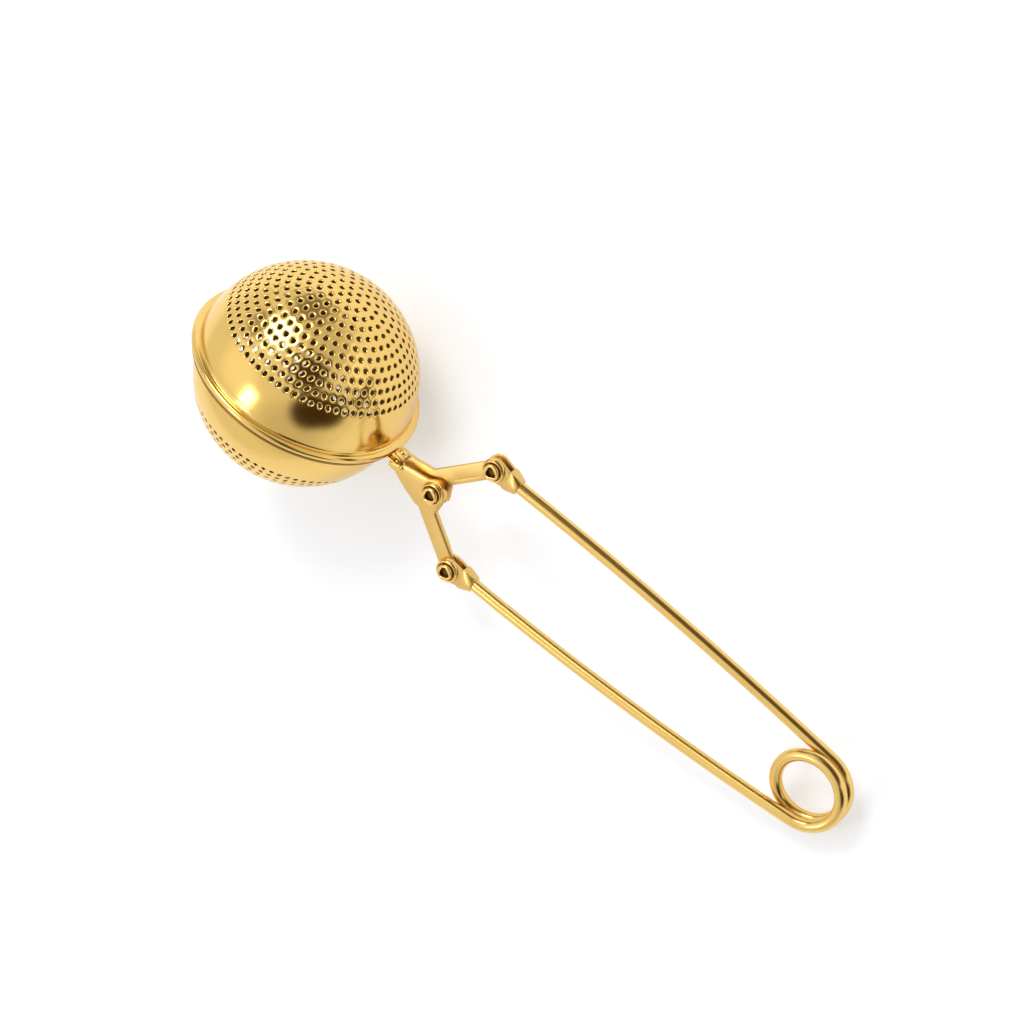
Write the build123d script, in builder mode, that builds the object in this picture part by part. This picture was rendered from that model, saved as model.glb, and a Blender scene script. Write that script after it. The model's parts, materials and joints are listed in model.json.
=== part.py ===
from build123d import *
import math
import os

# Squeeze-handle tea infuser, built closed in its working frame and then laid at rest on a table.
# Working frame: origin at the ball's centre, +X along the handle, +Y towards the upper bowl's pole,
# +Z along the rivets towards their open heads. All sizes are millimetres and degrees.

# Ball
bowl_radius = 22.5          # outside of the upper bowl
bowl_step = 0.6             # how much smaller the lower bowl is
bowl_wall = 0.5
seam_gap = 0.2              # between the closed rims
bead_radius = 0.8           # rolled bead on the upper rim
bead_reach = 0.8            # bead centre outside the bowl
flange_width = 1.6          # flat rim of the lower bowl
flange_thickness = 0.5
hole_radius = 0.6
hole_ring_step = 5.25       # degrees between rings of holes
hole_rings = 12

# Lugs that carry the bowls
lug_length = 4.2
lug_width = 2.4
lug_thickness = 0.5
lug_drop = 0.4              # step from the rim's face to the lug
lug_rivet_radius = 0.5
lug_rivet_head_radius = 0.85
lug_rivet_head_height = 0.42

# Arms
arm_sheet = 1.0
arm_width = 3.7
arm_fold_depth = 1.3
arm_fold_width = 0.9
tongue_thickness = 0.9
pivot_reach = 12.6          # bowl to pivot axis
pivot_disc_radius = 2.9
link_reach = 15.5           # pivot to link, along the rear strip
link_offset = 2.5           # rear strip's centre line outside the pivot
link_spread = 44.1          # rear strip against the handle's middle line
handle_turn = 7.4           # handle's middle line against the seam
eye_radius = 1.95
plate_heel_x = 1.4          # outer corner in front of the pivot
plate_heel_y = 4.9
plate_rise_x = 3.6          # end of the closing edge in front of the pivot
plate_rise_y = 0.5

# Rivets
rivet_shank_radius = 1.2
rivet_head_radius = 1.67
rivet_head_height = 1.45
rivet_bore_radius = 0.95
rivet_bore_depth = 1.1
rivet_foot_radius = 2.1
rivet_foot_height = 0.6
washer_radius = 2.3
washer_thickness = 0.5

# Ferrules
ear_sheet = 0.7
ear_radius = 2.5
ear_length = 3.0            # from the eye to the web
ferrule_length = 5.8
ferrule_wall = 0.35
ferrule_root_width = 4.4

# Spring wire
wire_radius = 1.25
coil_radius = 7.1           # middle of the wire
coil_turns = 1.5
coil_gap = 0.22             # between neighbouring turns
handle_length = 91.6        # pivot axis to the coil's middle
coil_y = 6.15               # coil's middle above the seam
wire_end_gap = 0.25

# Clearances
running = 0.05              # radial, rivets in turning holes
side_play = 0.05            # beside washers and under rivet feet
ear_play = 0.1              # beside the arm in a ferrule
free_pivot_play = 0.45      # radial, the upper link's hole

lower_bowl_radius = bowl_radius - bowl_step
pivot_x = bowl_radius + pivot_reach
coil_x = pivot_x + handle_length
arm_gap = washer_thickness + 2 * side_play
arm_outside = arm_gap / 2 + arm_sheet
arm_middle = arm_gap / 2 + arm_sheet / 2
fold_end = arm_outside - arm_fold_depth
slot_half = arm_sheet / 2 + ear_play
ear_outside = slot_half + ear_sheet
rim_face = seam_gap / 2
lug_face = rim_face + lug_drop
lug_back = lug_face + lug_thickness
tongue_back = lug_back + tongue_thickness
lug_end = bowl_radius + lug_length
lug_rivet_x = lug_end - lug_width / 2
coil_pitch = 2 * wire_radius + coil_gap
upper_half = Rot(180, 0, 0)   # turns a lower-side piece over to the upper side

os.makedirs("parts", exist_ok=True)
pieces = {}


def link_point(angle):
    """Link eye of a lower-side arm whose rear strip falls by angle."""
    a = math.radians(angle)
    x = pivot_x + link_reach * math.cos(a) - link_offset * math.sin(a)
    y = -link_reach * math.sin(a) - link_offset * math.cos(a)
    return x, y


lower_link_angle = link_spread - handle_turn
upper_link_angle = link_spread + handle_turn
lower_link_x, lower_link_y = link_point(lower_link_angle)
upper_link_x, flipped_y = link_point(upper_link_angle)
upper_link_y = -flipped_y


# Bowls: pole along +Z while they are made, lug along +X.

def hole_places(radius):
    """Concentric rings of radial holes, six more in each ring than in the last."""
    places = []
    for ring in range(hole_rings + 1):
        count = max(1, 6 * ring)
        for step in range(count):
            turn = Rot(0, 0, 360 * step / count) * Rot(0, ring * hole_ring_step, 0)
            places.append(turn * Pos(0, 0, radius - bowl_wall / 2))
    return places


def bowl_shell(radius):
    """Half of a thin sphere, from the seam to the pole."""
    with BuildPart() as shell:
        with BuildSketch(Plane.XZ) as section:
            with BuildLine():
                outer = CenterArc((0, 0), radius, 0, 90)
                inner = CenterArc((0, 0), radius - bowl_wall, 0, 90)
                Line(outer @ 1, inner @ 1)
                Line(outer @ 0, inner @ 0)
            make_face()
        revolve(axis=Axis.Z)
        with Locations(Pos(0, 0, -radius + rim_face)):
            Box(3 * radius, 3 * radius, 2 * radius, mode=Mode.SUBTRACT)
    return shell.part


with BuildPart() as upper_bowl:
    add(bowl_shell(bowl_radius))
    with BuildSketch(Plane.XZ):
        with Locations((bowl_radius + bead_reach, rim_face + bead_radius)):
            Circle(bead_radius)
        with Locations((bowl_radius + bead_reach / 2 - bowl_wall / 4, rim_face + bead_radius)):
            Rectangle(bead_reach + bowl_wall / 2, 2 * bead_radius - bowl_wall)
    revolve(axis=Axis.Z)
    lug_start = bowl_radius - bowl_wall / 2
    with Locations((lug_start, 0, lug_face)):
        Box(lug_end - lug_start, lug_width, lug_thickness, align=(Align.MIN, Align.CENTER, Align.MIN))
    fillet(upper_bowl.edges().filter_by(Axis.Z).group_by(Axis.X)[-1], lug_width * 0.45)
    with Locations((lug_rivet_x, 0, lug_face)):
        Cylinder(lug_rivet_radius, 3 * lug_thickness, mode=Mode.SUBTRACT)
    with Locations(hole_places(bowl_radius)):
        Cylinder(hole_radius, 4 * bowl_wall, mode=Mode.SUBTRACT)
pieces["upper_bowl"] = Rot(-90, 0, 0) * upper_bowl.part

with BuildPart() as lower_bowl:
    add(bowl_shell(lower_bowl_radius))
    with BuildSketch(Plane.XY.offset(rim_face)):
        Circle(lower_bowl_radius + flange_width)
        Circle(lower_bowl_radius - bowl_wall, mode=Mode.SUBTRACT)
    extrude(amount=flange_thickness)
    lug_start = lower_bowl_radius
    with Locations((lug_start, 0, lug_face)):
        Box(lug_end - lug_start, lug_width, lug_thickness, align=(Align.MIN, Align.CENTER, Align.MIN))
    fillet(lower_bowl.edges().filter_by(Axis.Z).group_by(Axis.X)[-1], lug_width * 0.45)
    with Locations((lug_rivet_x, 0, lug_face)):
        Cylinder(lug_rivet_radius, 3 * lug_thickness, mode=Mode.SUBTRACT)
    with Locations(hole_places(lower_bowl_radius)):
        Cylinder(hole_radius, 4 * bowl_wall, mode=Mode.SUBTRACT)
pieces["lower_bowl"] = Rot(90, 0, 0) * lower_bowl.part


# Lug rivets: a domed head on each side of the lug and the arm's tongue.

with BuildPart() as lug_rivet:
    with BuildSketch(Plane.XZ):
        with BuildLine():
            head_low = lug_face - lug_rivet_head_height
            head_high = tongue_back + lug_rivet_head_height
            bottom = ThreePointArc(
                (-lug_rivet_head_radius, lug_face), (0, head_low), (lug_rivet_head_radius, lug_face))
            Polyline(
                bottom @ 1, (lug_rivet_radius, lug_face),
                (lug_rivet_radius, tongue_back), (lug_rivet_head_radius, tongue_back))
            top = ThreePointArc(
                (lug_rivet_head_radius, tongue_back), (0, head_high), (-lug_rivet_head_radius, tongue_back))
            Polyline(
                top @ 1, (-lug_rivet_radius, tongue_back),
                (-lug_rivet_radius, lug_face), bottom @ 0)
        make_face()
        split(bisect_by=Plane.YZ)
    revolve(axis=Axis.Z)
placed_rivet = Pos(lug_rivet_x, 0, 0) * lug_rivet.part
pieces["upper_lug_rivet"] = Rot(-90, 0, 0) * placed_rivet
pieces["lower_lug_rivet"] = Rot(90, 0, 0) * placed_rivet


# Arms: one pressed strip each, made as the lower one.

def make_arm(link_angle, link_hole_radius):
    """Front plate, tongue, pivot disc and folded rear strip of one arm."""
    a = math.radians(link_angle)
    along = Vector(math.cos(a), -math.sin(a))
    outward = Vector(-math.sin(a), -math.cos(a))
    pivot = Vector(pivot_x, 0)
    eye = pivot + along * link_reach + outward * link_offset
    strip_start = pivot + outward * link_offset
    half = arm_width / 2
    fold_start = pivot_disc_radius + arm_fold_width
    fold_stop = link_reach - ear_radius - 4 * side_play
    tip_x = lug_end + side_play
    disc_meet = pivot + Vector(-pivot_disc_radius, 0).rotate(Axis.Z, -40)
    with BuildPart() as arm:
        with BuildSketch(Plane.XY.offset(arm_gap / 2)):
            with Locations(pivot):
                Circle(pivot_disc_radius)
            with Locations(eye):
                Circle(eye_radius)
            with BuildLine():
                Polyline(
                    strip_start + outward * half, eye + outward * eye_radius,
                    eye - outward * eye_radius, strip_start - outward * half, close=True)
            make_face()
            with BuildLine():
                Polyline(
                    (lug_end - lug_length / 2, -lug_back), (tip_x, -lug_back),
                    (pivot_x - plate_rise_x, plate_rise_y), disc_meet, (pivot_x, 0),
                    strip_start, strip_start + outward * half + along,
                    (pivot_x - plate_heel_x, -plate_heel_y), (tip_x, -tongue_back),
                    (lug_end - lug_length / 2, -tongue_back), close=True)
            make_face()
        extrude(amount=arm_sheet)
        # rear fold along the strip's inner edge
        inner_edge = strip_start - outward * half
        with BuildSketch(Plane.XY.offset(fold_end)):
            with BuildLine():
                Polyline(
                    inner_edge + along * fold_start, inner_edge + along * fold_stop,
                    inner_edge + along * fold_stop + outward * arm_fold_width,
                    inner_edge + along * fold_start + outward * arm_fold_width, close=True)
            make_face()
        extrude(amount=arm_fold_depth)
        # tongue under the bowl's lug
        with Locations((bowl_radius + 2 * bead_reach + 2 * running, -lug_back, -lug_width / 2)):
            Box(tip_x - bowl_radius - 2 * bead_reach + arm_fold_width, tongue_thickness,
                lug_width / 2 + arm_outside, align=(Align.MIN, Align.MAX, Align.MIN))
        with BuildSketch(Plane.XZ.offset(lug_back - 0.5 * bowl_wall)):
            with Locations((lug_rivet_x, 0)):
                Circle(lug_rivet_radius)
        extrude(amount=2 * tongue_thickness, mode=Mode.SUBTRACT)
        with BuildSketch():
            with Locations(pivot):
                Circle(rivet_shank_radius + running)
            with Locations(eye):
                Circle(link_hole_radius)
        extrude(amount=2 * arm_outside, mode=Mode.SUBTRACT)
    return arm.part


pieces["lower_arm"] = make_arm(lower_link_angle, rivet_shank_radius + running)
pieces["upper_arm"] = upper_half * make_arm(upper_link_angle, rivet_shank_radius + free_pivot_play)


# Rivets: a tubular head towards +Z and a spread foot.

def make_rivet(top, bottom):
    """Tubular rivet whose head sits on top and whose foot sits under bottom."""
    with BuildPart() as rivet:
        with BuildSketch(Plane.XY.offset(bottom)):
            Circle(rivet_shank_radius)
        extrude(amount=top - bottom)
        with BuildSketch(Plane.XY.offset(top)):
            Circle(rivet_head_radius)
        extrude(amount=rivet_head_height)
        with BuildSketch(Plane.XY.offset(bottom - rivet_foot_height)):
            Circle(rivet_foot_radius)
        extrude(amount=rivet_foot_height)
        fillet(rivet.edges().group_by(Axis.Z)[0], rivet_foot_height * 0.45)
        fillet(rivet.edges().group_by(Axis.Z)[-1], (rivet_head_radius - rivet_bore_radius) * 0.4)
        with BuildSketch(Plane.XY.offset(top + rivet_head_height)):
            with PolarLocations(rivet_bore_radius * 0.42, 3):
                Circle(rivet_bore_radius * 0.52)
        extrude(amount=-rivet_bore_depth, mode=Mode.SUBTRACT)
    return rivet.part


pieces["pivot_rivet"] = Pos(pivot_x, 0, 0) * make_rivet(arm_outside, -arm_outside - side_play)
pieces["lower_link_rivet"] = Pos(lower_link_x, lower_link_y, 0) * make_rivet(
    arm_middle + ear_outside, arm_middle - ear_outside)
pieces["upper_link_rivet"] = Pos(upper_link_x, upper_link_y, 0) * make_rivet(
    -arm_middle + ear_outside, -arm_middle - ear_outside)

with BuildPart() as pivot_washer:
    with BuildSketch(Plane.XY.offset(-washer_thickness / 2)):
        Circle(washer_radius)
        Circle(rivet_shank_radius + running, mode=Mode.SUBTRACT)
    extrude(amount=washer_thickness)
pieces["pivot_washer"] = Pos(pivot_x, 0, 0) * pivot_washer.part


# Spring wire: the legs are tangent to the coil.

def leg_run(link_x, link_y, side):
    """Direction of a leg in degrees, and where it meets the coil."""
    dx = coil_x - link_x
    dy = coil_y - link_y
    reach = math.hypot(dx, dy)
    angle = math.degrees(math.atan2(dy, dx) + side * math.asin(coil_radius / reach))
    return angle, math.sqrt(reach ** 2 - coil_radius ** 2)


lower_leg_angle, lower_leg_reach = leg_run(lower_link_x, lower_link_y, -1)
upper_leg_angle, upper_leg_reach = leg_run(upper_link_x, upper_link_y, 1)
coil_sweep = 360 * coil_turns - 180 + (180 + upper_leg_angle - lower_leg_angle)
coil_height = coil_pitch * coil_sweep / 360


def make_ferrule():
    """Clevis with its eye at the origin, folded round the wire along +X."""
    with BuildPart() as ferrule:
        with BuildSketch(Plane.XY.offset(-ear_outside)):
            Circle(ear_radius)
            with Locations((ear_length / 2, 0)):
                Rectangle(ear_length, ferrule_root_width)
        extrude(amount=2 * ear_outside)
        with BuildSketch(Plane.YZ.offset(ear_length)):
            RectangleRounded(ferrule_root_width, 2 * ear_outside, ear_sheet * 0.8)
        with BuildSketch(Plane.YZ.offset(ferrule_length)):
            Circle(wire_radius + ferrule_wall)
        loft()
        with Locations((-ear_radius, 0, 0)):
            Box(ear_radius + ear_length - ear_sheet, 3 * ear_radius, 2 * slot_half,
                align=(Align.MIN, Align.CENTER, Align.CENTER), mode=Mode.SUBTRACT)
        with BuildSketch(Plane.YZ.offset(ear_length)):
            Circle(wire_radius)
        extrude(amount=ferrule_length, mode=Mode.SUBTRACT)
        Cylinder(rivet_shank_radius, 4 * ear_outside, mode=Mode.SUBTRACT)
    return ferrule.part


def make_leg(reach, rise):
    """Straight wire from inside the ferrule to the coil, climbing by rise."""
    slope = math.degrees(math.atan2(rise, reach - ferrule_length))
    with BuildPart() as leg:
        with BuildSketch(Plane.YZ.offset(ear_length)):
            Circle(wire_radius)
        extrude(amount=ferrule_length - ear_length)
        bend = Plane(origin=(ferrule_length, 0, 0), x_dir=(0, 1, 0), z_dir=(reach - ferrule_length, 0, rise))
        with BuildSketch(bend):
            Circle(wire_radius)
        extrude(amount=math.hypot(reach - ferrule_length, rise) - wire_end_gap)
        with Locations((ferrule_length, 0, 0)):
            Sphere(wire_radius)
    return leg.part


lower_link = Pos(lower_link_x, lower_link_y, arm_middle) * Rot(0, 0, lower_leg_angle)
upper_link = Pos(upper_link_x, upper_link_y, -arm_middle) * Rot(0, 0, upper_leg_angle)
ferrule = make_ferrule()
pieces["lower_ferrule"] = lower_link * ferrule
pieces["upper_ferrule"] = upper_link * ferrule
pieces["lower_leg_wire"] = lower_link * make_leg(lower_leg_reach, coil_height / 2 - arm_middle)
pieces["upper_leg_wire"] = upper_link * make_leg(upper_leg_reach, arm_middle - coil_height / 2)

with BuildPart() as handle_coil:
    with BuildLine() as turns:
        Helix(coil_pitch, coil_height, coil_radius, lefthand=True)
    with BuildSketch(Plane(origin=turns.line @ 0, z_dir=turns.line % 0)):
        Circle(wire_radius)
    sweep(is_frenet=True)
coil_place = Pos(coil_x, coil_y, coil_height / 2) * Rot(0, 0, lower_leg_angle - 90)
pieces["handle_coil"] = coil_place * Rot(180, 0, 0) * handle_coil.part


# At rest the lower bowl and the bead lie on the table beside the coil.

def rest_turn():
    """Roll and pitch that put the bowl, the bead and the coil on one plane."""
    bead_middle = bowl_radius + bead_reach
    roll = 0.0
    pitch = 0.0
    for attempt in range(30):
        lean = math.sin(roll) * math.cos(pitch)
        touch = (lower_bowl_radius - bead_radius + (rim_face + bead_radius) * lean) / bead_middle
        roll = math.asin(math.sqrt(1 - touch ** 2) / math.cos(pitch))
        upright = math.cos(roll) * math.cos(pitch)
        coil_low = wire_radius + coil_height / 2 * upright + coil_radius * math.sqrt(1 - upright ** 2)
        side_drop = coil_y * math.sin(roll) * math.cos(pitch)
        pitch = math.asin((lower_bowl_radius - coil_low + side_drop) / coil_x)
    return math.degrees(roll), math.degrees(pitch)


rest_roll, rest_pitch = rest_turn()
laid = Rot(0, rest_pitch, 0) * Rot(rest_roll, 0, 0)
extent = Compound(children=[laid * piece for piece in pieces.values()]).bounding_box()
middle = extent.center()
rest = Pos(-middle.X, -middle.Y, -extent.min.Z) * laid

for name, piece in pieces.items():
    placed = rest * piece
    placed.label = name
    export_step(placed, f"parts/{name}.step")
print(f"rest: roll {rest_roll:.2f}, pitch {rest_pitch:.2f}, size {extent.size}")
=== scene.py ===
# Gold squeeze-handle tea infuser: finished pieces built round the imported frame.
import bpy
import json
import math
from mathutils import Matrix, Vector, kdtree


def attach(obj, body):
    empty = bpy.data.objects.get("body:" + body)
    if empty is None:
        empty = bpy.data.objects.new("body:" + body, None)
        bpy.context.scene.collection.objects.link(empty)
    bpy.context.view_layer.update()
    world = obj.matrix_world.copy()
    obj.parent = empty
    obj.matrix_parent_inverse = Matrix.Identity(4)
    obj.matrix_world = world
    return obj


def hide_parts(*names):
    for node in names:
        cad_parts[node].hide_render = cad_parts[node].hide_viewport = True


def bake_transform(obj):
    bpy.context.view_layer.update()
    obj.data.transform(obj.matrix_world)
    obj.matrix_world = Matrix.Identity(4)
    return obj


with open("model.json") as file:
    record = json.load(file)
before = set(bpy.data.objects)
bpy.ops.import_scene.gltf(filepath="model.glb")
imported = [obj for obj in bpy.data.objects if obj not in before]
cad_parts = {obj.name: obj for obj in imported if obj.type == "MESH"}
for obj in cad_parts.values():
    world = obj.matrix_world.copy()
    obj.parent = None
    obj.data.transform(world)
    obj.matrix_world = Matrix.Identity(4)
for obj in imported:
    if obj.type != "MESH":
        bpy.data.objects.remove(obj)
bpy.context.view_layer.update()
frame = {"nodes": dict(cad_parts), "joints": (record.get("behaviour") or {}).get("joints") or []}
print("frame loaded")

# Pieces are modelled in millimetres in a working frame: ball centre at the origin, +X along the handle,
# +Y to the upper bowl's pole, +Z along the rivets to their open heads. settle() lays them where the frame is.
linkage = {"pivotX": 35.1, "coilX": 126.7, "coilY": 6.15}
milli = 0.001
joints = {joint["name"]: joint for joint in frame["joints"]}


def jointPoint(name):
    return Vector(joints[name]["pos_m"])


def workingFrame():
    up = -Vector(joints["jaw_hinge"]["axis"]).normalized()
    toCoil = (jointPoint("coil_flex") - jointPoint("jaw_hinge")).normalized()
    rise = math.atan2(linkage["coilY"], linkage["coilX"] - linkage["pivotX"])
    along = Matrix.Rotation(-rise, 3, up) @ toCoil
    across = up.cross(along)
    origin = jointPoint("jaw_hinge") - along * linkage["pivotX"] * milli
    turn = Matrix((along, across, up)).transposed()
    return Matrix.Translation(origin) @ turn.to_4x4() @ Matrix.Scale(milli, 4)


toRow = workingFrame()
toWork = toRow.inverted()


def inWork(name):
    return toWork @ jointPoint(name)


pivot = inWork("jaw_hinge")
lowerEye = inWork("lower_link")
coilCentre = inWork("coil_flex")


def clearSelection():
    if bpy.context.object and bpy.context.object.mode != "OBJECT":
        bpy.ops.object.mode_set(mode="OBJECT")
    bpy.ops.object.select_all(action="DESELECT")


def active(obj):
    clearSelection()
    obj.select_set(True)
    bpy.context.view_layer.objects.active = obj


def named(name):
    obj = bpy.context.object
    obj.name = name
    obj.data.name = name
    return obj


def edit(mode="VERT"):
    bpy.ops.object.mode_set(mode="EDIT")
    bpy.ops.mesh.select_mode(type=mode)


def leaveEdit():
    bpy.ops.object.mode_set(mode="OBJECT")


# selects the vertices, edges or faces that pass the test, and nothing else
def pick(obj, test, mode="VERT"):
    edit(mode)
    bpy.ops.mesh.select_all(action="DESELECT")
    leaveEdit()
    items = obj.data.vertices if mode == "VERT" else obj.data.polygons if mode == "FACE" else obj.data.edges
    for item in items:
        if test(item):
            item.select = True
    edit(mode)


def applyModifiers(obj):
    active(obj)
    for modifier in list(obj.modifiers):
        bpy.ops.object.modifier_apply(modifier=modifier.name)


def addBevel(obj, width, segments=2, angle=30):
    modifier = obj.modifiers.new("Bevel", "BEVEL")
    modifier.width = width
    modifier.segments = segments
    modifier.limit_method = "ANGLE"
    modifier.angle_limit = math.radians(angle)
    modifier.use_clamp_overlap = True


def joinAll(objects, name):
    clearSelection()
    for obj in objects:
        obj.select_set(True)
    bpy.context.view_layer.objects.active = objects[0]
    if len(objects) > 1:
        bpy.ops.object.join()
    return named(name)


def applyPlace(obj):
    active(obj)
    bpy.ops.object.transform_apply(location=True, rotation=True, scale=True)


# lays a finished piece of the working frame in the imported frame, with its place in its mesh
def settle(obj, turn=Matrix.Identity(4)):
    applyPlace(obj)
    obj.data.transform(toRow @ turn)
    obj.data.update()


def smooth(obj, angle=35):
    active(obj)
    bpy.ops.object.shade_smooth_by_angle(angle=math.radians(angle))


def inputSocket(group, name, kind, value):
    socket = group.interface.new_socket(name=name, in_out="INPUT", socket_type=kind)
    socket.default_value = value
    return socket


# slow colour drift of thin gold plating, with handling marks in its roughness
def platingGroup():
    group = bpy.data.node_groups.new("goldPlating", "ShaderNodeTree")
    inputSocket(group, "Bright", "NodeSocketColor", (1, 1, 1, 1))
    inputSocket(group, "Deep", "NodeSocketColor", (1, 1, 1, 1))
    inputSocket(group, "Drift", "NodeSocketFloat", 60.0)
    inputSocket(group, "Smoothness", "NodeSocketFloat", 0.1)
    inputSocket(group, "Handling", "NodeSocketFloat", 0.05)
    group.interface.new_socket(name="Color", in_out="OUTPUT", socket_type="NodeSocketColor")
    group.interface.new_socket(name="Roughness", in_out="OUTPUT", socket_type="NodeSocketFloat")
    group.interface.new_socket(name="Height", in_out="OUTPUT", socket_type="NodeSocketFloat")
    nodes, links = group.nodes, group.links
    source = nodes.new("NodeGroupInput")
    sink = nodes.new("NodeGroupOutput")
    place = nodes.new("ShaderNodeTexCoord")
    drift = nodes.new("ShaderNodeTexNoise")
    drift.inputs["Detail"].default_value = 3.0
    links.new(place.outputs["Object"], drift.inputs["Vector"])
    links.new(source.outputs["Drift"], drift.inputs["Scale"])
    colours = nodes.new("ShaderNodeMix")
    colours.data_type = "RGBA"
    links.new(drift.outputs["Fac"], colours.inputs["Factor"])
    links.new(source.outputs["Bright"], colours.inputs[6])
    links.new(source.outputs["Deep"], colours.inputs[7])
    links.new(colours.outputs[2], sink.inputs["Color"])
    marks = nodes.new("ShaderNodeTexNoise")
    marks.inputs["Scale"].default_value = 420.0
    marks.inputs["Detail"].default_value = 6.0
    marks.inputs["Roughness"].default_value = 0.7
    links.new(place.outputs["Object"], marks.inputs["Vector"])
    rough = nodes.new("ShaderNodeMath")
    rough.operation = "MULTIPLY_ADD"
    links.new(marks.outputs["Fac"], rough.inputs[0])
    links.new(source.outputs["Handling"], rough.inputs[1])
    links.new(source.outputs["Smoothness"], rough.inputs[2])
    links.new(rough.outputs[0], sink.inputs["Roughness"])
    links.new(marks.outputs["Fac"], sink.inputs["Height"])
    return group


plating = platingGroup()


def platedMetal(name, look):
    material = bpy.data.materials.new(name)
    material.use_nodes = True
    nodes, links = material.node_tree.nodes, material.node_tree.links
    shader = nodes["Principled BSDF"]
    shader.inputs["Metallic"].default_value = 1.0
    shader.inputs["Specular Tint"].default_value = look["edge"]
    finish = nodes.new("ShaderNodeGroup")
    finish.node_tree = plating
    finish.inputs["Bright"].default_value = look["bright"]
    finish.inputs["Deep"].default_value = look["deep"]
    finish.inputs["Drift"].default_value = look["drift"]
    finish.inputs["Smoothness"].default_value = look["roughness"]
    finish.inputs["Handling"].default_value = look["handling"]
    bump = nodes.new("ShaderNodeBump")
    bump.inputs["Strength"].default_value = look["bump"]
    bump.inputs["Distance"].default_value = look["grain"]
    links.new(finish.outputs["Color"], shader.inputs["Base Color"])
    links.new(finish.outputs["Roughness"], shader.inputs["Roughness"])
    links.new(finish.outputs["Height"], bump.inputs["Height"])
    links.new(bump.outputs["Normal"], shader.inputs["Normal"])
    return material


finishes = {
    "bowl": {"bright": (0.86, 0.59, 0.19, 1), "deep": (0.78, 0.51, 0.14, 1), "edge": (1.0, 0.95, 0.88, 1),
             "drift": 45.0, "roughness": 0.14, "handling": 0.05, "bump": 0.02, "grain": 0.0001},
    "arm": {"bright": (0.80, 0.54, 0.19, 1), "deep": (0.70, 0.45, 0.14, 1), "edge": (1.0, 0.92, 0.78, 1),
            "drift": 90.0, "roughness": 0.27, "handling": 0.12, "bump": 0.10, "grain": 0.0001},
    "wire": {"bright": (0.86, 0.60, 0.20, 1), "deep": (0.78, 0.51, 0.15, 1), "edge": (1.0, 0.93, 0.80, 1),
             "drift": 70.0, "roughness": 0.19, "handling": 0.06, "bump": 0.03, "grain": 0.0001},
    "rivet": {"bright": (0.90, 0.62, 0.22, 1), "deep": (0.82, 0.53, 0.16, 1), "edge": (1.0, 0.93, 0.80, 1),
              "drift": 120.0, "roughness": 0.17, "handling": 0.10, "bump": 0.06, "grain": 0.0001},
    # inside: painted shade, a dark gold for the bowls' inner faces, the hole bores and a band round each rivet head's
    # side; the real metal there is the same gold
    "inside": {"bright": (0.40, 0.22, 0.06, 1), "deep": (0.32, 0.17, 0.04, 1), "edge": (0.8, 0.65, 0.45, 1),
               "drift": 60.0, "roughness": 0.38, "handling": 0.12, "bump": 0.04, "grain": 0.0001},
    # hollow: painted shade, a near-brown gold for the inside of the rivets' rolled heads
    "hollow": {"bright": (0.22, 0.11, 0.03, 1), "deep": (0.13, 0.06, 0.015, 1), "edge": (0.6, 0.45, 0.3, 1),
               "drift": 200.0, "roughness": 0.42, "handling": 0.20, "bump": 0.10, "grain": 0.0001},
}
rivetHollow = platedMetal("rivetHollow", finishes["hollow"])
paintedGoldShade = platedMetal("paintedGoldShade", finishes["inside"])
bowlGold = platedMetal("bowlGold", finishes["bowl"])
armGold = platedMetal("armGold", finishes["arm"])
wireGold = platedMetal("wireGold", finishes["wire"])
rivetGold = platedMetal("rivetGold", finishes["rivet"])
for name, obj in frame["nodes"].items():
    obj.data.materials.clear()
    obj.data.materials.append(rivetGold if "rivet" in name or "washer" in name else armGold)
print("finishes made")


def dress(obj, material, body, slot, *nodes):
    if not obj.data.materials:
        obj.data.materials.append(material)
    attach(obj, body)
    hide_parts(*nodes)


# turned piece: each (radius, height) ring is drawn out of the last, and a radius of 0 closes it
def ringShape(name, rings, sides):
    bpy.ops.object.select_all(action="DESELECT")
    bpy.ops.mesh.primitive_circle_add(vertices=sides, radius=rings[0][0], location=(0, 0, 0))
    obj = named(name)
    obj.location.z = rings[0][1]
    applyPlace(obj)
    edit()
    bpy.ops.mesh.select_all(action="SELECT")
    lastR, lastZ = rings[0]
    for ringR, ringZ in rings[1:]:
        bpy.ops.mesh.extrude_region_move()
        scale = max(ringR, 0.0001) / lastR
        bpy.ops.transform.resize(value=(scale, scale, 1), center_override=(0, 0, lastZ))
        bpy.ops.transform.translate(value=(0, 0, ringZ - lastZ))
        lastR, lastZ = max(ringR, 0.0001), ringZ
    bpy.ops.mesh.select_all(action="SELECT")
    bpy.ops.mesh.remove_doubles(threshold=0.001)
    bpy.ops.mesh.normals_make_consistent(inside=False)
    leaveEdit()
    return obj


# closed skin drawn round boxes and discs: ("box", centre, size) or ("disc", centre, radius, depth, axis)
def hullShape(name, parts, bevel, segments=3):
    made = []
    for part in parts:
        bpy.ops.object.select_all(action="DESELECT")
        if part[0] == "box":
            bpy.ops.mesh.primitive_cube_add(size=1, location=part[1], scale=part[2])
        else:
            turn = (0, math.pi / 2, 0) if part[4] == "X" else (math.pi / 2, 0, 0) if part[4] == "Y" else (0, 0, 0)
            bpy.ops.mesh.primitive_cylinder_add(
                vertices=28, radius=part[2], depth=part[3], location=part[1], rotation=turn)
        made.append(bpy.context.object)
    for obj in made:
        applyPlace(obj)
    obj = joinAll(made, name)
    edit()
    bpy.ops.mesh.select_all(action="SELECT")
    bpy.ops.mesh.convex_hull()
    bpy.ops.mesh.select_all(action="SELECT")
    bpy.ops.mesh.dissolve_limited(angle_limit=math.radians(1))
    bpy.ops.mesh.normals_make_consistent(inside=False)
    leaveEdit()
    addBevel(obj, bevel, segments)
    applyModifiers(obj)
    smooth(obj, 40)
    return obj


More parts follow.
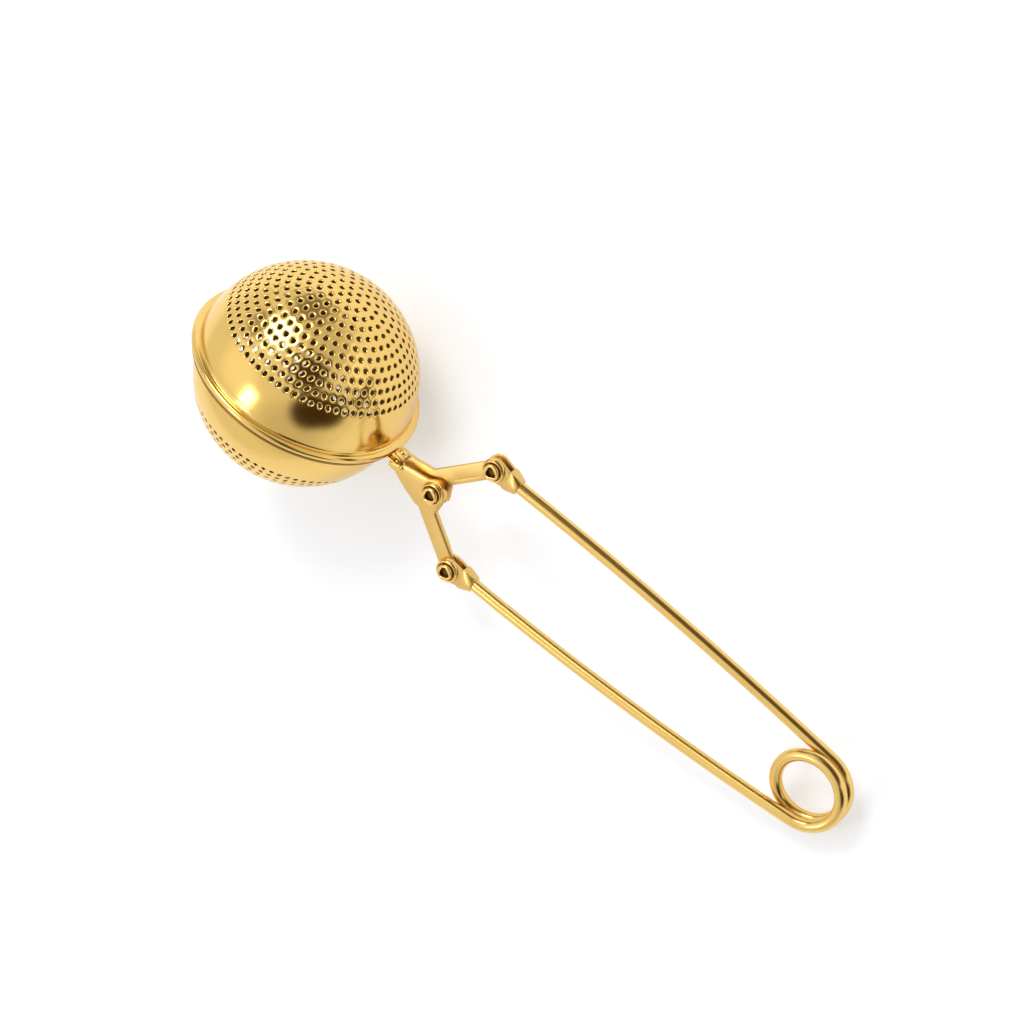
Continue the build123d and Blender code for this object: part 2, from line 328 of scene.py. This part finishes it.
# rims are (radius, height) rings from the band down; the band's rings are angles from the pole
bowl = {"wall": 0.42, "bandAngles": (70.5, 74, 77.5, 81, 84), "lugBevel": 0.12,
        "lug": [("box", (23.6, 0, 0.75), (3.0, 2.4, 0.5)), ("disc", (25.3, 0, 0.75), 1.2, 0.5, "Z")]}
bowl["upper"] = {
    "radius": 22.5, "rim": [(22.45, 1.95), (22.62, 1.66), (23.0, 1.66), (23.45, 1.68), (23.85, 1.47), (24.07, 1.12),
                            (24.08, 0.72), (23.86, 0.34), (23.45, 0.13), (23.0, 0.16), (22.68, 0.42)]}
bowl["lower"] = {
    "radius": 21.9, "rim": [(21.84, 1.55), (21.90, 1.05), (22.1, 0.72), (22.5, 0.61), (23.2, 0.6), (23.45, 0.58)]}
perforation = {"rings": 12, "step": 5.25, "lip": 0.84, "throat": 0.75, "bore": 0.66, "dip": 0.02, "drop": 0.09}


# moves a point of a flat six-sided lattice to its place in the concentric rings on the ball
def ringPlace(point, radius):
    angle = (math.atan2(point.y, point.x) - math.pi / 2) % math.tau
    side = min(5, int(angle / (math.pi / 3) + 1e-6))
    inSide = angle - side * math.pi / 3 - math.pi / 6
    reach = point.length * math.cos(inSide) / math.cos(math.pi / 6)
    ring = round(reach * (perforation["rings"] + 1))
    if ring == 0:
        return 0, Vector((0, 0, radius))
    share = 0.5 + math.tan(inSide) * math.cos(math.pi / 6)
    azimuth = (side + share) * math.pi / 3
    polar = math.radians(ring * perforation["step"])
    return ring, radius * Vector((
        math.sin(polar) * math.cos(azimuth), math.sin(polar) * math.sin(azimuth), math.cos(polar)))


def buildBowl(name, radius, rim):
    bpy.ops.object.select_all(action="DESELECT")
    bpy.ops.mesh.primitive_circle_add(vertices=6, radius=1, fill_type="TRIFAN", location=(0, 0, 0))
    obj = named(name)
    edit()
    bpy.ops.mesh.select_all(action="SELECT")
    bpy.ops.mesh.subdivide(number_cuts=perforation["rings"])
    leaveEdit()
    holes = []
    for vertex in obj.data.vertices:
        ring, place = ringPlace(vertex.co.copy(), radius)
        vertex.co = place
        vertex.select = ring <= perforation["rings"]
        if vertex.select:
            holes.append(place)
    obj.data.update()
    tree = kdtree.KDTree(len(holes))
    for index, place in enumerate(holes):
        tree.insert(place, index)
    tree.balance()
    pick(obj, lambda vertex: tree.find(vertex.co)[2] < 0.01)
    bpy.ops.mesh.bevel(offset_type="OFFSET", offset=perforation["lip"], segments=1, affect="VERTICES")
    leaveEdit()
    pick(obj, lambda face: tree.find(face.center)[2] < 0.3, "FACE")
    bpy.ops.mesh.inset(use_individual=True, thickness=perforation["lip"] - perforation["throat"],
                       depth=-perforation["dip"])
    bpy.ops.mesh.inset(use_individual=True, thickness=perforation["throat"] - perforation["bore"],
                       depth=-perforation["drop"])
    bpy.ops.mesh.delete(type="FACE")
    leaveEdit()
    # the lattice's edge is drawn out ring by ring into the solid band and the rim
    edgePolar = math.radians((perforation["rings"] + 1) * perforation["step"])
    lastR, lastZ = radius * math.sin(edgePolar), radius * math.cos(edgePolar)
    edgeTest = lastZ + 0.15
    pick(obj, lambda edge: all(obj.data.vertices[v].co.z < edgeTest for v in edge.vertices), "EDGE")
    bandPolars = [math.radians(angle) for angle in bowl["bandAngles"]]
    profile = [(radius * math.sin(polar), radius * math.cos(polar)) for polar in bandPolars] + rim
    for ringR, ringZ in profile:
        bpy.ops.mesh.extrude_region_move()
        scale = ringR / lastR
        bpy.ops.transform.resize(value=(scale, scale, 1), center_override=(0, 0, lastZ))
        bpy.ops.transform.translate(value=(0, 0, ringZ - lastZ))
        lastR, lastZ = ringR, ringZ
    leaveEdit()
    subdivision = obj.modifiers.new("Subdivision", "SUBSURF")
    subdivision.levels = subdivision.render_levels = 1
    applyModifiers(obj)
    bandEnd = radius * math.cos(bandPolars[-1]) + 0.3
    for vertex in obj.data.vertices:
        away = tree.find(vertex.co)[2]
        if away > perforation["lip"] - 0.12 and vertex.co.z > bandEnd:
            vertex.co = vertex.co.normalized() * radius
    obj.data.update()
    obj.data.materials.append(bowlGold)
    obj.data.materials.append(paintedGoldShade)
    thickness = obj.modifiers.new("Thickness", "SOLIDIFY")
    thickness.thickness = bowl["wall"]
    thickness.offset = -1
    # the inner shell and the hole bores get the second material, painted shade
    thickness.material_offset = thickness.material_offset_rim = 1
    applyModifiers(obj)
    smooth(obj, 50)
    strap = hullShape("lug", bowl["lug"], bowl["lugBevel"])
    strap.data.materials.append(bowlGold)
    return joinAll([obj, strap], name)


upperBowl = buildBowl("upperBowl", **bowl["upper"])
lowerBowl = buildBowl("lowerBowl", **bowl["lower"])
print("bowls made", len(upperBowl.data.polygons), len(lowerBowl.data.polygons))
poleUp = Matrix.Rotation(-math.pi / 2, 4, "X")
poleDown = Matrix.Rotation(math.pi / 2, 4, "X")
settle(upperBowl, poleUp)
settle(lowerBowl, poleDown)
dress(upperBowl, bowlGold, "upper_jaw", "bowl_gold", "upper_bowl")
dress(lowerBowl, bowlGold, "lower_jaw", "bowl_gold", "lower_bowl")

arm = {"top": 1.3, "sheet": 0.9, "disc": 2.9, "reach": 15.5, "offset": 2.5, "eye": 1.95, "bevel": 0.13,
       "foldDepth": 1.15, "plateFolds": (0, 0.1, 0.2, 0.2, 0.2, 0.1), "discAngles": (140, 108, 76, 44, 12, -14),
       "stripFolds": ((4.0, 0.9), (4.8, 1), (6.2, 1), (8.0, 1), (10.2, 1), (12.4, 0.9), (13.4, 0.6)),
       "eyeAngles": (0, 25, 50, 72, 88)}
arm["lower"] = {
    "fall": 36.7, "outer": 4.5, "inner": 1.15, "steps": (1.8, 2.2, 2.6, 3.1, 3.7),
    "heel": ((24.3, -1.9), (26.3, -2.05), (28.4, -3.1), (30.0, -3.75), (31.6, -4.3), (32.5, -4.6), (33.2, -4.8)),
    "closing": ((24.5, -1.15), (26.4, -0.2), (27.4, 0.7), (29.3, 1.2), (31.1, 1.5), (32.3, 1.75))}
arm["upper"] = {
    "fall": 51.5, "outer": 4.2, "inner": 0.7, "steps": (0.9, 1.7, 2.4, 3.1, 3.7),
    "heel": ((24.3, -1.9), (26.3, -1.95), (28.4, -2.15), (29.8, -2.55), (30.8, -2.85), (31.5, -3.0), (32.0, -3.1)),
    "closing": ((24.5, -0.9), (25.9, 0.6), (27.2, 1.0), (28.8, 1.3), (31.0, 1.5), (32.3, 1.6))}


# edge points of one arm, outer and inner, with how far the inner edge is folded at each
def armPairs(shape):
    fall = math.radians(shape["fall"])
    along = Vector((math.cos(fall), -math.sin(fall)))
    outward = Vector((-math.sin(fall), -math.cos(fall)))
    hub = Vector((linkage["pivotX"], 0))
    eye = hub + along * arm["reach"] + outward * arm["offset"]
    pairs = list(zip(shape["heel"], shape["closing"], arm["plateFolds"]))
    heel = [shape["heel"][-1]] + [tuple(hub + outward * shape["outer"] + along * step) for step in shape["steps"]]
    for place, angle in zip(heel, arm["discAngles"]):
        disc = hub + arm["disc"] * Vector((math.cos(math.radians(angle)), math.sin(math.radians(angle))))
        pairs.append((place, tuple(disc), 0.4 if angle < 0 else 0))
    for step, fold in arm["stripFolds"]:
        pairs.append((tuple(hub + outward * shape["outer"] + along * step),
                      tuple(hub + outward * shape["inner"] + along * step), fold))
    for angle in arm["eyeAngles"]:
        swing = math.radians(angle)
        ahead = eye + along * arm["eye"] * math.sin(swing)
        wide = outward * arm["eye"] * math.cos(swing)
        pairs.append((tuple(ahead + wide), tuple(ahead - wide), 0))
    return pairs


# across an arm from its outer edge: share of the way when flat, then distance from and drop at the folded edge
flatShares = (0, 0.45, 0.72, 0.82, 0.90, 0.95, 1.0)
foldedInset = (None, 0.62, 0.42, 0.20, 0.06, 0, 0)
foldedDrop = (0, 0, 0.03, 0.13, 0.32, 0.60, 1.0)


def buildArm(name, shape):
    pairs = armPairs(shape)
    count, across = len(pairs), len(flatShares)
    bpy.ops.object.select_all(action="DESELECT")
    bpy.ops.mesh.primitive_grid_add(x_subdivisions=count - 1, y_subdivisions=across - 1, size=2)
    obj = named(name)
    for index, vertex in enumerate(obj.data.vertices):
        outer, inner, fold = pairs[index % count]
        step = index // count
        outer, inner = Vector(outer), Vector(inner)
        flat = outer.lerp(inner, flatShares[step])
        bent = outer if step == 0 else inner + (outer - inner).normalized() * foldedInset[step]
        place = flat.lerp(bent, fold)
        vertex.co = (place.x, place.y, arm["top"] - arm["foldDepth"] * foldedDrop[step] * fold)
    obj.data.update()
    if obj.data.polygons[0].normal.z < 0:
        edit()
        bpy.ops.mesh.select_all(action="SELECT")
        bpy.ops.mesh.flip_normals()
        leaveEdit()
    thickness = obj.modifiers.new("Thickness", "SOLIDIFY")
    thickness.thickness = arm["sheet"]
    thickness.offset = -1
    addBevel(obj, arm["bevel"], 3, 50)
    applyModifiers(obj)
    smooth(obj, 42)
    return obj


flip = Matrix.Rotation(math.pi, 4, "X")   # turns a lower-side piece over to the upper side
tongue = {"x": (24.15, 26.7), "y": (-1.02, -1.9), "z": (-1.15, 1.1), "bevel": 0.25}
stud = {"place": (27.0, -0.35), "radius": 0.55, "base": 1.2, "rise": 0.5, "rooted": 0.4}


def buildJaw(side, turn):
    plate = buildArm(side + "Arm", arm[side])
    low, high = tongue["x"]
    padMiddle = ((low + high) / 2, sum(tongue["y"]) / 2, sum(tongue["z"]) / 2)
    padSize = (high - low, tongue["y"][0] - tongue["y"][1], tongue["z"][1] - tongue["z"][0])
    pieces = [plate, hullShape("tonguePad", [("box", padMiddle, padSize)], tongue["bevel"])]
    if side == "lower":
        base, rise, reach = stud["base"], stud["rise"], stud["radius"]
        dome = ringShape("stud", [(reach, base - stud["rooted"]), (reach, base), (reach * 0.9, base + rise * 0.45),
                                  (reach * 0.62, base + rise * 0.82), (reach * 0.3, base + rise * 0.97),
                                  (0, base + rise)], 20)
        dome.location = (*stud["place"], 0)
        applyPlace(dome)
        smooth(dome, 60)
        pieces.append(dome)
    whole = joinAll(pieces, side + "Arm")
    settle(whole, turn)
    dress(whole, armGold, side + "_jaw", "arm_gold", side + "_arm")


buildJaw("lower", Matrix.Identity(4))
buildJaw("upper", flip)
print("arms made")

# the collar's points are (past the head, above the arm's face)
rivet = {"shank": 1.2, "head": 1.67, "rise": 1.45, "foot": 2.05, "footDrop": 0.58, "lobes": 3, "lobeDepth": 0.26,
         "hollow": 1.25, "sides": 36,
         "collar": ((0.12, -0.02), (0.13, 0.5), (0.25, 0.74), (0.45, 0.78), (0.64, 0.6), (0.77, 0.22), (0.81, -0.02),
                    (0.12, -0.02))}


def buildRivet(name, place, top, bottom, body, node):
    crown = top + rivet["rise"]
    head = rivet["head"]
    foot = rivet["foot"]
    rings = [(0.02, bottom - rivet["footDrop"]), (foot * 0.55, bottom - rivet["footDrop"]),
             (foot * 0.86, bottom - rivet["footDrop"] * 0.86), (foot, bottom - rivet["footDrop"] * 0.5),
             (foot, bottom), (rivet["shank"], bottom), (rivet["shank"], top), (head, top), (head, crown - 0.35),
             (head - 0.05, crown - 0.13), (head - 0.14, crown - 0.03), (head - 0.3, crown),
             (head - 0.46, crown - 0.05), (head - 0.55, crown - 0.2), (head - 0.58, crown - 0.5),
             (head - 0.62, crown - 0.85), (0, crown - 0.9)]
    obj = ringShape(name, rings, rivet["sides"])
    for vertex in obj.data.vertices:   # pinches the rolled head's hollow into lobes
        reach = math.hypot(vertex.co.x, vertex.co.y)
        if vertex.co.z > crown - rivet["hollow"] and 0.01 < reach < head - 0.4:
            angle = math.atan2(vertex.co.y, vertex.co.x)
            pinch = 1 - rivet["lobeDepth"] * (0.5 - 0.5 * math.cos(rivet["lobes"] * angle))
            vertex.co.x *= pinch
            vertex.co.y *= pinch
    smooth(obj, 50)
    inside, wall = [], []
    for face in obj.data.polygons:
        level, reach = face.center.z, math.hypot(face.center.x, face.center.y)
        # faces in the head's hollow are kept for painted shade
        if crown - rivet["hollow"] < level < crown - 0.16 and reach < head - 0.44:
            inside.append(face.index)
        # faces on the head's side wall are kept for a band of painted shade
        if top + 0.05 < level < crown - 0.3 and reach > head - 0.1:
            wall.append(face.index)
    collar = ringShape(name + "Collar", [(head + past, top + lift) for past, lift in rivet["collar"]], rivet["sides"])
    smooth(collar, 60)
    joinAll([obj, collar], name)
    obj.location = place
    settle(obj)
    dress(obj, rivetGold, body, "rivet_gold", node)
    obj.data.materials.append(rivetHollow)
    obj.data.materials.append(paintedGoldShade)
    # painted shade: the faces in the head's hollow get the near-brown gold
    for index in inside:
        obj.data.polygons[index].material_index = 1
    # painted shade: the faces on the head's side wall get the dark inside gold
    for index in wall:
        obj.data.polygons[index].material_index = 2


# levels of the joints' layers, and how far each ear and ferrule reaches
stack = {"armTop": 1.3, "armMiddle": 0.8, "earOutside": 1.3, "earInside": 0.6, "ear": 2.5, "end": 5.8}
upperFall = math.radians(arm["upper"]["fall"])
upperEye = Vector((linkage["pivotX"], 0, 0)) + Vector((
    arm["reach"] * math.cos(upperFall) - arm["offset"] * math.sin(upperFall),
    arm["reach"] * math.sin(upperFall) + arm["offset"] * math.cos(upperFall), 0))
buildRivet("pivotRivet", pivot, stack["armTop"], -stack["armTop"] - 0.05, "lower_jaw", "pivot_rivet")
buildRivet("lowerLinkRivet", lowerEye, stack["armMiddle"] + stack["earOutside"],
           stack["armMiddle"] - stack["earOutside"], "lower_leg", "lower_link_rivet")
buildRivet("upperLinkRivet", upperEye, -stack["armMiddle"] + stack["earOutside"],
           -stack["armMiddle"] - stack["earOutside"], "upper_leg", "upper_link_rivet")
washerRings = [(1.25, -0.25), (2.15, -0.25), (2.3, -0.12), (2.3, 0.12), (2.15, 0.25), (1.25, 0.25), (1.25, -0.25)]
washer = ringShape("pivotWasher", washerRings, rivet["sides"])
washer.location = pivot
smooth(washer, 40)
settle(washer)
dress(washer, rivetGold, "lower_jaw", "rivet_gold", "pivot_washer")

lugRivet = {"x": 25.35, "head": 0.84, "shank": 0.5, "rise": 0.4, "face": 0.5, "back": 1.9, "sides": 24}


def buildLugRivet(side, turn):
    head, rise, shank = lugRivet["head"], lugRivet["rise"], lugRivet["shank"]
    face, back = lugRivet["face"], lugRivet["back"]
    rings = [(0.02, face - rise), (head * 0.45, face - rise * 0.9), (head * 0.8, face - rise * 0.6), (head, face),
             (shank, face), (shank, back), (head, back), (head * 0.8, back + rise * 0.6),
             (head * 0.45, back + rise * 0.9), (0.02, back + rise)]
    obj = ringShape(side + "LugRivet", rings, lugRivet["sides"])
    smooth(obj, 60)
    obj.location.x = lugRivet["x"]
    settle(obj, turn)
    dress(obj, rivetGold, side + "_jaw", "rivet_gold", side + "_lug_rivet")


buildLugRivet("upper", poleUp)
buildLugRivet("lower", poleDown)
print("rivets made")

wire = {"radius": 1.25, "coil": 7.1, "turns": 1.5, "pitch": 2.72, "sides": 20, "coilSteps": 110,
        "legParts": 10, "bow": {"lower": 1.3, "upper": 1.0}, "blendTilt": 20}


# direction of the straight line from an eye to where it touches the coil
def legLine(eye, side):
    gap = coilCentre - eye
    reach = math.hypot(gap.x, gap.y)
    return math.atan2(gap.y, gap.x) + side * math.asin(wire["coil"] / reach)


lowerAngle = legLine(lowerEye, -1)
upperAngle = legLine(upperEye, 1)


def buildFerrule(side, eye, angle, middle):
    thin = stack["earOutside"] - stack["earInside"]
    parts = []
    for up in (1, -1):
        level = up * (stack["earOutside"] + stack["earInside"]) / 2
        parts.append(hullShape("ear", [
            ("disc", (0, 0, level), stack["ear"], thin, "Z"),
            ("box", (stack["end"] - 1.4, 0, level), (0.4, 3.0, thin))], 0.14))
    parts.append(hullShape("crimp", [
        ("box", (3.1, 0, 0), (0.6, 4.3, 2 * stack["earOutside"] - 0.2)),
        ("disc", (stack["end"] - 0.5, 0, 0), wire["radius"] + 0.42, 1.0, "X")], 0.12))
    obj = joinAll(parts, side + "Ferrule")
    obj.rotation_euler.z = angle
    obj.location = (eye.x, eye.y, middle)
    settle(obj)
    dress(obj, armGold, side + "_leg", "arm_gold", side + "_ferrule")


buildFerrule("lower", lowerEye, lowerAngle, stack["armMiddle"])
buildFerrule("upper", upperEye, upperAngle, -stack["armMiddle"])


def buildWire():
    sweep = math.tau * wire["turns"] + upperAngle - lowerAngle
    height = wire["pitch"] * sweep / math.tau
    bpy.ops.object.select_all(action="DESELECT")
    bpy.ops.mesh.primitive_circle_add(vertices=wire["sides"], radius=wire["radius"], location=(wire["coil"], 0, 0),
                                      rotation=(math.pi / 2, 0, 0))
    obj = named("springWire")
    applyPlace(obj)
    screw = obj.modifiers.new("Screw", "SCREW")
    screw.axis = "Z"
    screw.angle = sweep
    screw.screw_offset = -height
    screw.steps = screw.render_steps = wire["coilSteps"]
    screw.use_merge_vertices = False
    applyModifiers(obj)
    startTurn = Matrix.Rotation(lowerAngle - math.pi / 2, 4, "Z")
    obj.data.transform(Matrix.Translation(coilCentre + Vector((0, 0, height / 2))) @ startTurn)
    obj.data.update()
    for eye, angle, middle, side, bow in ((lowerEye, lowerAngle, stack["armMiddle"], -1, wire["bow"]["lower"]),
                                          (upperEye, upperAngle, -stack["armMiddle"], 1, wire["bow"]["upper"])):
        along = Vector((math.cos(angle), math.sin(angle), 0))
        across = Vector((-math.sin(angle), math.cos(angle), 0)) * side
        tip = coilCentre + across * wire["coil"] + Vector((0, 0, -side * height / 2))
        end = eye.copy()
        end.z = middle
        end += along * (stack["end"] - 1.0)
        run = end - tip

        def atTip(vertex, tip=tip, along=along):
            return (vertex.co - tip).length < wire["radius"] * 1.02 and abs((vertex.co - tip).dot(along)) < 0.12

        pick(obj, atTip)
        last = Vector((0, 0, 0))
        for step in range(1, wire["legParts"] + 1):
            share = step / wire["legParts"]
            place = run * share + across * bow * 4 * share * (1 - share)
            bpy.ops.mesh.extrude_region_move()
            bpy.ops.transform.translate(value=place - last)
            last = place
        bpy.ops.mesh.edge_face_add()
        leaveEdit()
    edit()
    bpy.ops.mesh.select_all(action="SELECT")
    bpy.ops.mesh.normals_make_consistent(inside=False)
    leaveEdit()
    smooth(obj, 60)
    return obj


springWire = buildWire()
settle(springWire)
springWire.data.materials.clear()
springWire.data.materials.append(wireGold)
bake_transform(springWire)
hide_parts("lower_leg_wire", "handle_coil", "upper_leg_wire")
print("handle made")

# Directions are given from the camera: right, up, and back towards it. Each zone of the sky is a direction,
# the angles where it is full and where it ends, and what the light is multiplied by in it.
studio = {
    "camera": {"place": (158.1, 360.22, 438.49), "lens": 105.5, "sensor": 36,
               "right": (0.73607, 0.42786, -0.52454), "up": (-0.65003, 0.66298, -0.37139),
               "back": (0.18886, 0.61433, 0.76612)},
    "sky": (0.95, 0.945, 0.935, 1),
    "dark": (0.05, 0.028, 0.008, 1),
    "dim": [((0.14, -0.02, 0.99), 12, 25, 0.0), ((0.13, -0.63, 0.76), 13, 24, 0.0),
            ((0.42, -0.61, 0.67), 12, 23, 0.0), ((0.14, 0.92, 0.37), 7, 25, 0.22),
            ((-0.60, 0.70, 0.39), 5, 19, 0.35), ((-0.2, -0.85, 0.50), 5, 40, 0.75),
            ((0.50, 0.45, 0.72), 5, 30, 0.75)],
    "glow": [((0.96, 0.12, 0.24), 8, 34, 1.5), ((-0.90, 0.10, 0.42), 6, 30, 1.25)],
    "softbox": {"way": (-0.31, 0.63, 0.71), "far": 0.60, "size": (0.27, 0.27), "power": 1.5},
    "fill": {"way": (-0.80, -0.35, 0.50), "far": 0.60, "size": (0.12, 0.20), "power": 0.4},
    "screen": {"from": 32, "to": 142, "centre": (25.8, 5.7), "half": 8.5, "slope": 29},
    "cloth": (0.10, 0.055, 0.018, 1),
    "floor": (0.68, 0.70, 0.745, 1),
    "lift": 0.38,
}


def buildCamera():
    data = bpy.data.cameras.new("camera")
    data.lens = studio["camera"]["lens"]
    data.sensor_width = studio["camera"]["sensor"]
    data.clip_start, data.clip_end = 0.01, 20
    camera = bpy.data.objects.new("camera", data)
    bpy.context.scene.collection.objects.link(camera)
    place = Matrix([Vector(studio["camera"][way]) for way in ("right", "up", "back")]).transposed().to_4x4()
    place.translation = Vector(studio["camera"]["place"])
    world = toRow @ place
    camera.matrix_world = Matrix.Translation(world.translation) @ world.to_3x3().normalized().to_4x4()
    bpy.context.scene.camera = camera
    return camera


camera = buildCamera()
lookTurn = camera.matrix_world.to_3x3()


def areaLight(name, look):
    data = bpy.data.lights.new(name, "AREA")
    data.shape = "RECTANGLE"
    data.size, data.size_y = look["size"]
    data.energy = look["power"]
    light = bpy.data.objects.new(name, data)
    bpy.context.scene.collection.objects.link(light)
    way = (lookTurn @ Vector(look["way"])).normalized()
    light.location = toRow.translation + way * look["far"]
    light.rotation_mode = "QUATERNION"
    light.rotation_quaternion = way.to_track_quat("Z", "Y")


def buildFloor():
    bpy.ops.object.select_all(action="DESELECT")
    bpy.ops.mesh.primitive_plane_add(size=6, location=(0, 0, 0))
    floor = named("floor")
    material = bpy.data.materials.new("paleFloor")
    material.use_nodes = True
    shader = material.node_tree.nodes["Principled BSDF"]
    shader.inputs["Base Color"].default_value = studio["floor"]
    shader.inputs["Roughness"].default_value = 0.7
    shader.inputs["Specular IOR Level"].default_value = 0.2
    shader.inputs["Emission Color"].default_value = (1, 1, 1, 1)
    shader.inputs["Emission Strength"].default_value = studio["lift"]
    floor.data.materials.append(material)


def buildSky():
    world = bpy.data.worlds.new("studio")
    bpy.context.scene.world = world
    world.use_nodes = True
    nodes, links = world.node_tree.nodes, world.node_tree.links
    place = nodes.new("ShaderNodeTexCoord")
    level = {"dim": None, "glow": None}
    for part, way, core, rim, strength in [("dim", *zone) for zone in studio["dim"]] + [
            ("glow", *zone) for zone in studio["glow"]]:
        facing = nodes.new("ShaderNodeVectorMath")
        facing.operation = "DOT_PRODUCT"
        facing.inputs[1].default_value = (lookTurn @ Vector(way)).normalized()
        links.new(place.outputs["Generated"], facing.inputs[0])
        ramp = nodes.new("ShaderNodeMapRange")
        ramp.interpolation_type = "SMOOTHSTEP"
        ramp.inputs["From Min"].default_value = math.cos(math.radians(rim))
        ramp.inputs["From Max"].default_value = math.cos(math.radians(core))
        ramp.inputs["To Min"].default_value = 1.0
        ramp.inputs["To Max"].default_value = strength
        links.new(facing.outputs["Value"], ramp.inputs["Value"])
        if level[part] is None:
            level[part] = ramp.outputs["Result"]
        else:
            both = nodes.new("ShaderNodeMath")
            both.operation = "MULTIPLY"
            links.new(level[part], both.inputs[0])
            links.new(ramp.outputs["Result"], both.inputs[1])
            level[part] = both.outputs[0]
    colours = nodes.new("ShaderNodeMix")
    colours.data_type = "RGBA"
    colours.inputs[6].default_value = studio["dark"]
    colours.inputs[7].default_value = studio["sky"]
    links.new(level["dim"], colours.inputs["Factor"])
    background = nodes["Background"]
    links.new(colours.outputs[2], background.inputs["Color"])
    links.new(level["glow"], background.inputs["Strength"])


# dark cloth beside the handle, seen only where polished metal reflects it
def buildScreen():
    look = studio["screen"]
    bpy.ops.object.select_all(action="DESELECT")
    bpy.ops.mesh.primitive_plane_add(size=1, location=(0, 0, 0))
    screen = named("darkScreen")
    slope = math.radians(look["slope"])
    middle = Vector(((look["from"] + look["to"]) / 2, *look["centre"]))
    side = Vector((0, -math.sin(slope), math.cos(slope))) * 2 * look["half"]
    for vertex in screen.data.vertices:
        vertex.co = middle + Vector((vertex.co.x * (look["to"] - look["from"]), 0, 0)) + side * vertex.co.y
    settle(screen)
    material = bpy.data.materials.new("darkCloth")
    material.use_nodes = True
    shader = material.node_tree.nodes["Principled BSDF"]
    shader.inputs["Base Color"].default_value = studio["cloth"]
    shader.inputs["Roughness"].default_value = 0.9
    screen.data.materials.append(material)
    screen.visible_camera = False
    screen.visible_diffuse = False
    screen.visible_shadow = False


buildFloor()
buildSky()
buildScreen()
areaLight("softbox", studio["softbox"])
areaLight("fill", studio["fill"])
bpy.context.scene.view_settings.view_transform = "Standard"
print("studio made")
